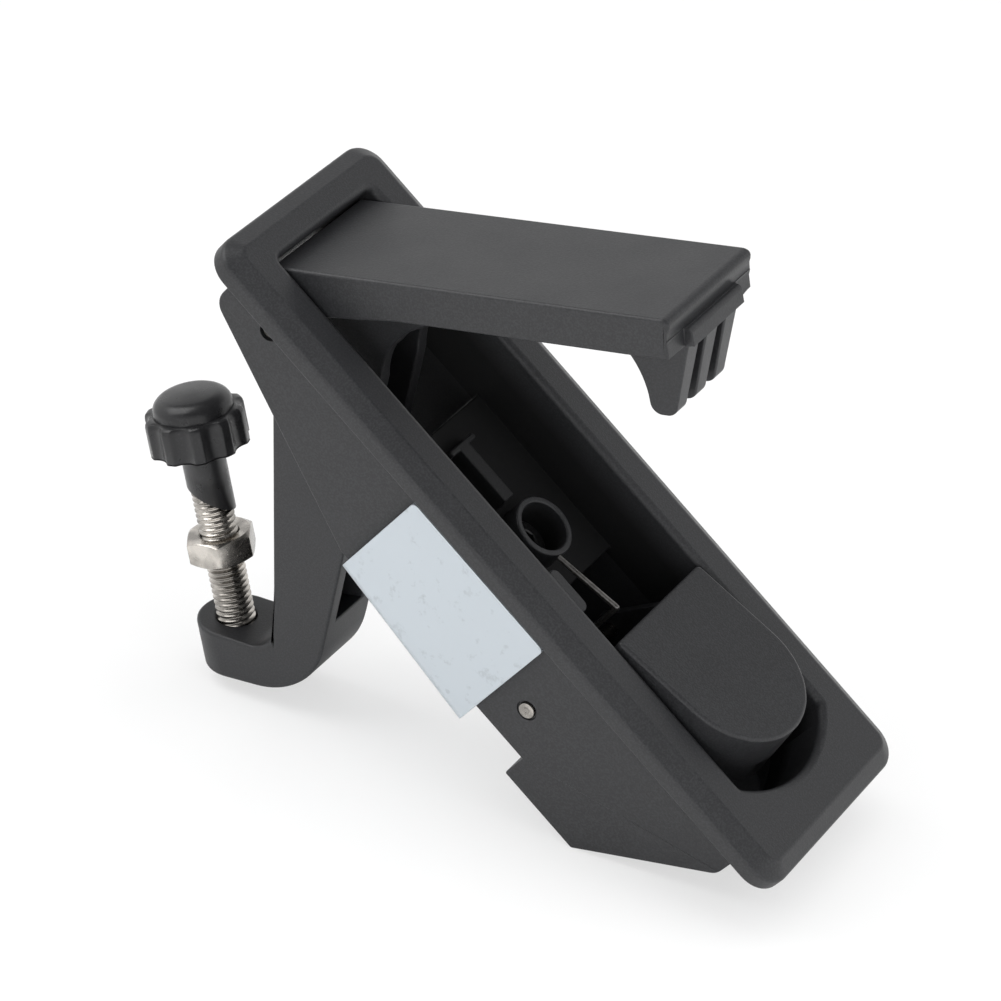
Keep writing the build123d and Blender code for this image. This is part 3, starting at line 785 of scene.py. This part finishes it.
class LATCH_OT_arm(bpy.types.Operator):
    """Hook arm casting with rounded edges"""
    bl_idname = "latch.arm"
    bl_label = "Hook arm"

    def execute(self, context):
        edge = context.scene.latch_sizes.edge_round
        piece = cast_copy("hook_arm", "hook_casting")
        soften(piece, [
            (lambda p: lever_point(p)[1] < -74.0 and lever_point(p)[0] < 0.0, edge * 2.0),
            (lambda p: True, edge * 1.3)])
        dress(piece, powder_coat("powder_coat_arm"))
        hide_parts("hook_arm")
        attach(piece, "lever")
        return {"FINISHED"}


class LATCH_OT_button(bpy.types.Operator):
    """Push button casting with rounded edges"""
    bl_idname = "latch.button"
    bl_label = "Push button"

    def execute(self, context):
        edge = context.scene.latch_sizes.edge_round
        piece = cast_copy("push_button", "release_button")
        centre, outer, inner = 19.6, 15.86, 13.75
        sweep = [math.radians(80 - 8 * step) for step in range(21)]
        wall = [(centre + outer * math.cos(a), outer * math.sin(a), 0) for a in sweep]
        wall += [(centre + inner * math.cos(a), inner * math.sin(a), 0) for a in reversed(sweep)]
        skirt = raise_face(trace(wall, closed=True), [(SKIRT_END - SKIRT_START, 1.0)])
        settle(skirt, BUTTON_EDGE - BUTTON_UP * (SKIRT_END * MM), BUTTON_ALONG, BUTTON_UP)
        cut(piece, skirt, "UNION")
        soften(piece, [
            (lambda p: (p * MM - BUTTON_EDGE).dot(BUTTON_UP) < -2.0 * MM, 0.0),
            (lambda p: True, edge)])
        dress(piece, powder_coat("powder_coat_button", [
            ((36.0, -15.7, 7.6), (46.0, -15.7, 9.2), 0.7, 0.13),
            ((52.0, -13.0, 10.2), (60.0, -6.0, 11.4), 0.7, 0.11),
            ((26.2, -14.0, 6.0), (26.2, 14.0, 6.0), 0.4, 0.08)]))
        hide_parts("push_button")
        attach(piece, "button")
        return {"FINISHED"}


class LATCH_OT_adjuster(bpy.types.Operator):
    """Threaded adjusting screw and its lock nut"""
    bl_idname = "latch.adjuster"
    bl_label = "Adjusting screw and lock nut"

    def execute(self, context):
        sizes = context.scene.latch_sizes
        plating = nickel_plate("nickel_plate")
        bottom, top, tip = -91.6, -33.3, 0.5
        pitch = sizes.screw_pitch / MM
        rod = threaded_rod(
            "adjusting_thread", 4.0, sizes.screw_depth / MM, pitch, top - bottom, tip)
        settle(rod, screw_place(bottom + tip), SCREW_ACROSS, SCREW_UP)
        dress(rod, plating)
        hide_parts("adjusting_screw")
        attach(rod, "screw")
        nut = hex_nut("lock_hexagon", 13.0, 5.6, 4.03, pitch, math.radians(30))
        settle(nut, screw_place(-64.6), SCREW_ACROSS, SCREW_UP)
        dress(nut, plating)
        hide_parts("lock_nut")
        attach(nut, "locknut")
        return {"FINISHED"}


def fluted_radius(angle):
    """Reach of the knob's ring at an angle: ten scallops with eased corners."""
    flutes, outer, centre, scallop, ease, middle = 10, 10.4, 12.6, 3.2, 7.0, 10
    pitch = math.tau / flutes
    from_flute = (angle + pitch / 2) % pitch - pitch / 2
    inside = scallop ** 2 - (centre * math.sin(from_flute)) ** 2
    if inside <= 0:
        return outer
    reach = centre * math.cos(from_flute) - math.sqrt(inside)
    eased = math.exp(-ease * (outer - middle)) + math.exp(-ease * (reach - middle))
    return middle - math.log(eased) / ease


class LATCH_OT_knob(bpy.types.Operator):
    """Domed bumper knob with flutes, and the plastic sleeve below it"""
    bl_idname = "latch.knob"
    bl_label = "Bumper knob"

    def execute(self, context):
        plastic = moulded_plastic("knob_plastic")
        outline = []
        around = 240
        for step in range(around):
            a = math.tau * step / around
            outline.append((fluted_radius(a) * math.cos(a), fluted_radius(a) * math.sin(a), 0))
        knob = trace(outline, closed=True)
        knob.name = "bumper_dome"
        raise_face(knob, [
            (0.0, 0.97), (0.12, 1.016), (0.3, 1.0145), (6.08, 1.0), (0.7, 0.985), (0.4, 0.965),
            (0.2, 0.94)])
        profile = [(0.0, 4.0), (8.3, 4.0), (8.3, 7.95), (8.2, 8.5)]
        for step in range(1, 9):
            a = step / 9 * math.pi / 2
            profile.append((4.6 + 3.6 * math.cos(a), 8.5 + 2.9 * math.sin(a)))
        profile += [(4.0, 11.5), (2.2, 11.72), (0.0, 11.8)]
        cut(knob, turn("dome", profile, 96), "UNION")
        bpy.ops.object.shade_smooth_by_angle(angle=math.radians(30))
        settle(knob, screw_place(-39.0), SCREW_ACROSS, SCREW_UP)
        dress(knob, plastic)
        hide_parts("bumper_knob")
        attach(knob, "knob")
        sleeve = turn("screw_sleeve_skin", [
            (4.05, -2.0), (4.5, -2.0), (4.5, 13.4), (4.7, 13.8), (5.2, 14.1), (5.2, 14.3), (4.05, 14.3),
            (4.05, -2.0)], 48)
        slant = context.scene.latch_sizes.sleeve_slant
        bpy.ops.object.mode_set(mode="EDIT")
        bpy.ops.mesh.select_all(action="SELECT")
        bpy.ops.mesh.bisect(
            plane_co=(0, 0, 2.4 * MM),
            plane_no=(math.sin(slant) * 0.86, math.sin(slant) * 0.51, math.cos(slant)),
            use_fill=True, clear_inner=True)
        bpy.ops.object.mode_set(mode="OBJECT")
        settle(sleeve, screw_place(-53.3), SCREW_ACROSS, SCREW_UP)
        dress(sleeve, plastic)
        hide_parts("screw_sleeve")
        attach(sleeve, "knob")
        return {"FINISHED"}


class LATCH_OT_bracket(bpy.types.Operator):
    """Folded zinc bracket with its clamp screw and nut"""
    bl_idname = "latch.bracket"
    bl_label = "Mounting bracket"

    def execute(self, context):
        sizes = context.scene.latch_sizes
        zinc = zinc_plate("zinc_plate")
        sheet = cast_copy("mounting_bracket", "folded_bracket")
        soften(sheet, [(lambda p: True, 0.0002)], segments=2)
        dress(sheet, zinc)
        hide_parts("mounting_bracket")
        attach(sheet, "bracket")
        low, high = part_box("clamp_nut")
        pitch = sizes.clamp_pitch / MM
        nut = hex_nut("clamp_hexagon", 10.0, (high.z - low.z) / MM, 3.03, pitch, 0.0)
        settle(nut, Vector((BOSS_X * MM, 0, low.z)), ALONG_X, ALONG_Z)
        dress(nut, zinc)
        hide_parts("clamp_nut")
        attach(nut, "bracket")
        low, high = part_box("clamp_screw")
        dark = drawn_steel("black_oxide", context.scene.latch_colours.steel)
        tip, head_height = 0.4, 6.0
        rod = threaded_rod("clamp_thread", 3.0, 0.5, pitch, 31.2, tip)
        settle(rod, Vector((BOSS_X * MM, 0, low.z + tip * MM)), ALONG_X, ALONG_Z)
        head = high.z / MM - head_height
        cap = turn("clamp_cap", [
            (0, head), (5.0, head), (5.0, head + 5.5), (4.5, head + 6.0), (2.95, head + 6.0),
            (2.7, head + 5.8), (0, head + 5.8)], 64)
        put_down()
        bpy.ops.mesh.primitive_cylinder_add(
            vertices=6, radius=5.0 / math.sqrt(3) * MM, depth=7.0 * MM,
            location=(0, 0, (head + head_height) * MM))
        cut(cap, bpy.context.object)
        settle(cap, Vector((BOSS_X * MM, 0, 0)), ALONG_X, ALONG_Z)
        for piece in (rod, cap):
            dress(piece, dark)
            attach(piece, "clampscrew")
        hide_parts("clamp_screw")
        return {"FINISHED"}


class LATCH_OT_small(bpy.types.Operator):
    """Pins, springs, washer and arm screws"""
    bl_idname = "latch.small"
    bl_label = "Pins, springs and small fasteners"

    def execute(self, context):
        tones = context.scene.latch_colours
        nodes = frame["nodes"]
        plating = nickel_plate("pin_plate")
        # painted shade: the recessed pivot pin's nickel is painted a fifth as bright to stand in for
        # the shade in its hole
        pin_shade_tone = [tone * 0.2 for tone in tones.nickel]
        dress(nodes["pivot_pin"], drawn_steel("pin_nickel_painted_shade", pin_shade_tone, 0.4))
        low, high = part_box("button_pin")
        reach = (high.y - low.y) / MM
        pin = turn("release_pin", [
            (0, 0.3), (0.5, 0.28), (0.8, 0.05), (1.2, 0.0), (1.65, 0.12), (1.8, 0.4), (1.8, 0.75),
            (1.5, 0.78), (1.5, reach - 0.78), (1.8, reach - 0.75), (1.8, reach - 0.4),
            (1.65, reach - 0.12), (1.2, reach), (0.8, reach - 0.05), (0.5, reach - 0.28),
            (0, reach - 0.3)], 40)
        settle(pin, Vector((BUTTON_PIN_X * MM, low.y, BUTTON_PIN_Z * MM)), ALONG_X, ALONG_Y)
        dress(pin, plating)
        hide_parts("button_pin")
        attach(pin, "pan")
        wire = drawn_steel("spring_wire", tones.wire, 0.2)
        wound = Matrix.Translation(PIVOT) @ Matrix.Rotation(SPRING_TURN, 4, "Y")
        wound = wound @ Matrix.Translation(-PIVOT)
        for name, shift in (
                ("handle_spring_near", wound), ("handle_spring_far", wound),
                ("button_spring", Matrix.Translation((0, SPRING_ASIDE * MM, 0)))):
            spring = cast_copy(name, name.replace("spring", "torsion_wire"))
            spring.matrix_world = shift
            bpy.ops.object.transform_apply(location=True, rotation=True, scale=True)
            bpy.ops.object.shade_smooth_by_angle(angle=math.radians(50))
            dress(spring, wire)
            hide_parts(name)
            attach(spring, "pan")
        dark = drawn_steel("blackened_steel", tones.steel)
        for name in ("arm_screw_1", "arm_screw_2", "clamp_washer"):
            dress(nodes[name], dark)
        return {"FINISHED"}


class LATCH_OT_stage(bpy.types.Operator):
    """Pale floor under the resting latch, soft lamps and the camera"""
    bl_idname = "latch.stage"
    bl_label = "Stage"

    def execute(self, context):
        scene = context.scene
        put_down()
        bpy.ops.mesh.primitive_plane_add(size=5.0)
        floor = context.object
        floor.name = "studio_floor"
        gap = 0.05
        settle(floor, FLOOR_NORMAL * (-FLOOR_REACH - gap) * MM, ALONG_Y, FLOOR_NORMAL)
        f = Finish("studio_paper")
        f.shader.inputs["Base Color"].default_value = (0.9, 0.9, 0.9, 1)
        f.shader.inputs["Roughness"].default_value = 0.9
        glow = f.add("ShaderNodeEmission", None, {"Color": (1, 1, 1, 1), "Strength": 1.0})
        path = f.add("ShaderNodeLightPath", out="Is Camera Ray")
        lit = f.add("ShaderNodeMixShader", None, {
            0: path * 0.62, 1: Flow(f, f.shader.outputs[0]), 2: glow})
        under = f.add("ShaderNodeNewGeometry", out="Backfacing")
        clear = f.add("ShaderNodeBsdfTransparent")
        seen = f.add("ShaderNodeMixShader", None, {0: under, 1: lit, 2: clear})
        f.tree.links.new(seen.socket, f.tree.nodes["Material Output"].inputs["Surface"])
        dress(floor, f.material)

        # white to the eye, even on dull surfaces, bright only near the horizon in glossy ones
        world = bpy.data.worlds.new("studio_air")
        world.use_nodes = True
        scene.world = world
        tree = world.node_tree
        air = tree.nodes["Background"]
        air.inputs["Color"].default_value = (1, 1, 1, 1)
        rays = tree.nodes.new("ShaderNodeLightPath")
        heading = tree.nodes.new("ShaderNodeTexCoord")
        height = tree.nodes.new("ShaderNodeVectorMath")
        height.operation = "DOT_PRODUCT"
        height.inputs[1].default_value = FLOOR_NORMAL
        tree.links.new(heading.outputs["Generated"], height.inputs[0])
        sheen = tree.nodes.new("ShaderNodeMapRange")
        for name, value in (("From Min", 0.42), ("From Max", 0.70), ("To Min", 1.05), ("To Max", 0.1)):
            sheen.inputs[name].default_value = value
        tree.links.new(height.outputs["Value"], sheen.inputs["Value"])
        level = tree.nodes.new("ShaderNodeMix")
        level.inputs["A"].default_value = 0.45
        tree.links.new(rays.outputs["Is Glossy Ray"], level.inputs["Factor"])
        tree.links.new(sheen.outputs[0], level.inputs["B"])
        white = tree.nodes.new("ShaderNodeMix")
        white.inputs["B"].default_value = 1.0
        tree.links.new(rays.outputs["Is Camera Ray"], white.inputs["Factor"])
        tree.links.new(level.outputs["Result"], white.inputs["A"])
        tree.links.new(white.outputs["Result"], air.inputs["Strength"])

        centre = Vector((-8.0, 0.0, -18.0)) * MM
        right, down, ahead = CAMERA_RIGHT, CAMERA_DOWN, CAMERA_AHEAD
        for name, offset, size, watts in (
                ("key_softbox", right * -0.55 - down * 0.75 - ahead * 0.30, 0.7, 5.0),
                ("top_softbox", FLOOR_NORMAL * 1.0 + right * 0.25, 0.9, 4.8),
                ("front_softbox", Vector((0.15, -1.0, 0.2)), 0.7, 6.0),
                ("fill_softbox", right * 0.7 - down * 0.3 - ahead * 0.9, 0.7, 4.0)):
            lamp = bpy.data.lights.new(name, "AREA")
            lamp.shape = "SQUARE"
            lamp.size = size
            lamp.energy = watts
            stand = bpy.data.objects.new(name, lamp)
            stand.visible_glossy = name == "key_softbox"
            scene.collection.objects.link(stand)
            stand.location = centre + offset
            stand.rotation_euler = (-offset).to_track_quat("-Z", "Y").to_euler()

        lens = bpy.data.cameras.new("bench_camera")
        lens.sensor_fit = "AUTO"
        lens.angle = 2 * math.atan(VIEW_HALF_WIDTH / VIEW_DISTANCE)
        lens.clip_start = 0.05
        lens.clip_end = 20.0
        camera = bpy.data.objects.new("bench_camera", lens)
        scene.collection.objects.link(camera)
        up, back = -down, -ahead
        camera.matrix_world = Matrix((
            (right.x, up.x, back.x, CAMERA_PLACE.x),
            (right.y, up.y, back.y, CAMERA_PLACE.y),
            (right.z, up.z, back.z, CAMERA_PLACE.z),
            (0, 0, 0, 1)))
        scene.camera = camera
        scene.view_settings.view_transform = "Standard"
        return {"FINISHED"}


class LATCH_PT_panel(bpy.types.Panel):
    """Sizes, colours and steps of the latch"""
    bl_idname = "LATCH_PT_panel"
    bl_label = "Compression latch"
    bl_space_type = "VIEW_3D"
    bl_region_type = "UI"
    bl_category = "Latch"

    def draw(self, context):
        layout = self.layout
        for group in (context.scene.latch_sizes, context.scene.latch_colours):
            box = layout.box()
            for name in group.bl_rna.properties.keys():
                if name not in ("rna_type", "name"):
                    box.prop(group, name)
        for step in STEPS:
            layout.operator(step.bl_idname)


STEPS = (
    LATCH_OT_housing, LATCH_OT_handle, LATCH_OT_arm, LATCH_OT_button, LATCH_OT_adjuster,
    LATCH_OT_knob, LATCH_OT_bracket, LATCH_OT_small, LATCH_OT_stage)
CLASSES = (LatchSizes, LatchColours) + STEPS + (LATCH_PT_panel,)


def register():
    for cls in CLASSES:
        bpy.utils.register_class(cls)
    bpy.types.Scene.latch_sizes = bpy.props.PointerProperty(type=LatchSizes)
    bpy.types.Scene.latch_colours = bpy.props.PointerProperty(type=LatchColours)


def unregister():
    del bpy.types.Scene.latch_colours
    del bpy.types.Scene.latch_sizes
    for cls in reversed(CLASSES):
        bpy.utils.unregister_class(cls)


def main():
    register()
    bpy.ops.latch.housing()
    bpy.ops.latch.handle()
    bpy.ops.latch.arm()
    bpy.ops.latch.button()
    bpy.ops.latch.adjuster()
    bpy.ops.latch.knob()
    bpy.ops.latch.bracket()
    bpy.ops.latch.small()
    bpy.ops.latch.stage()
    put_down()


if __name__ == "__main__":
    main()
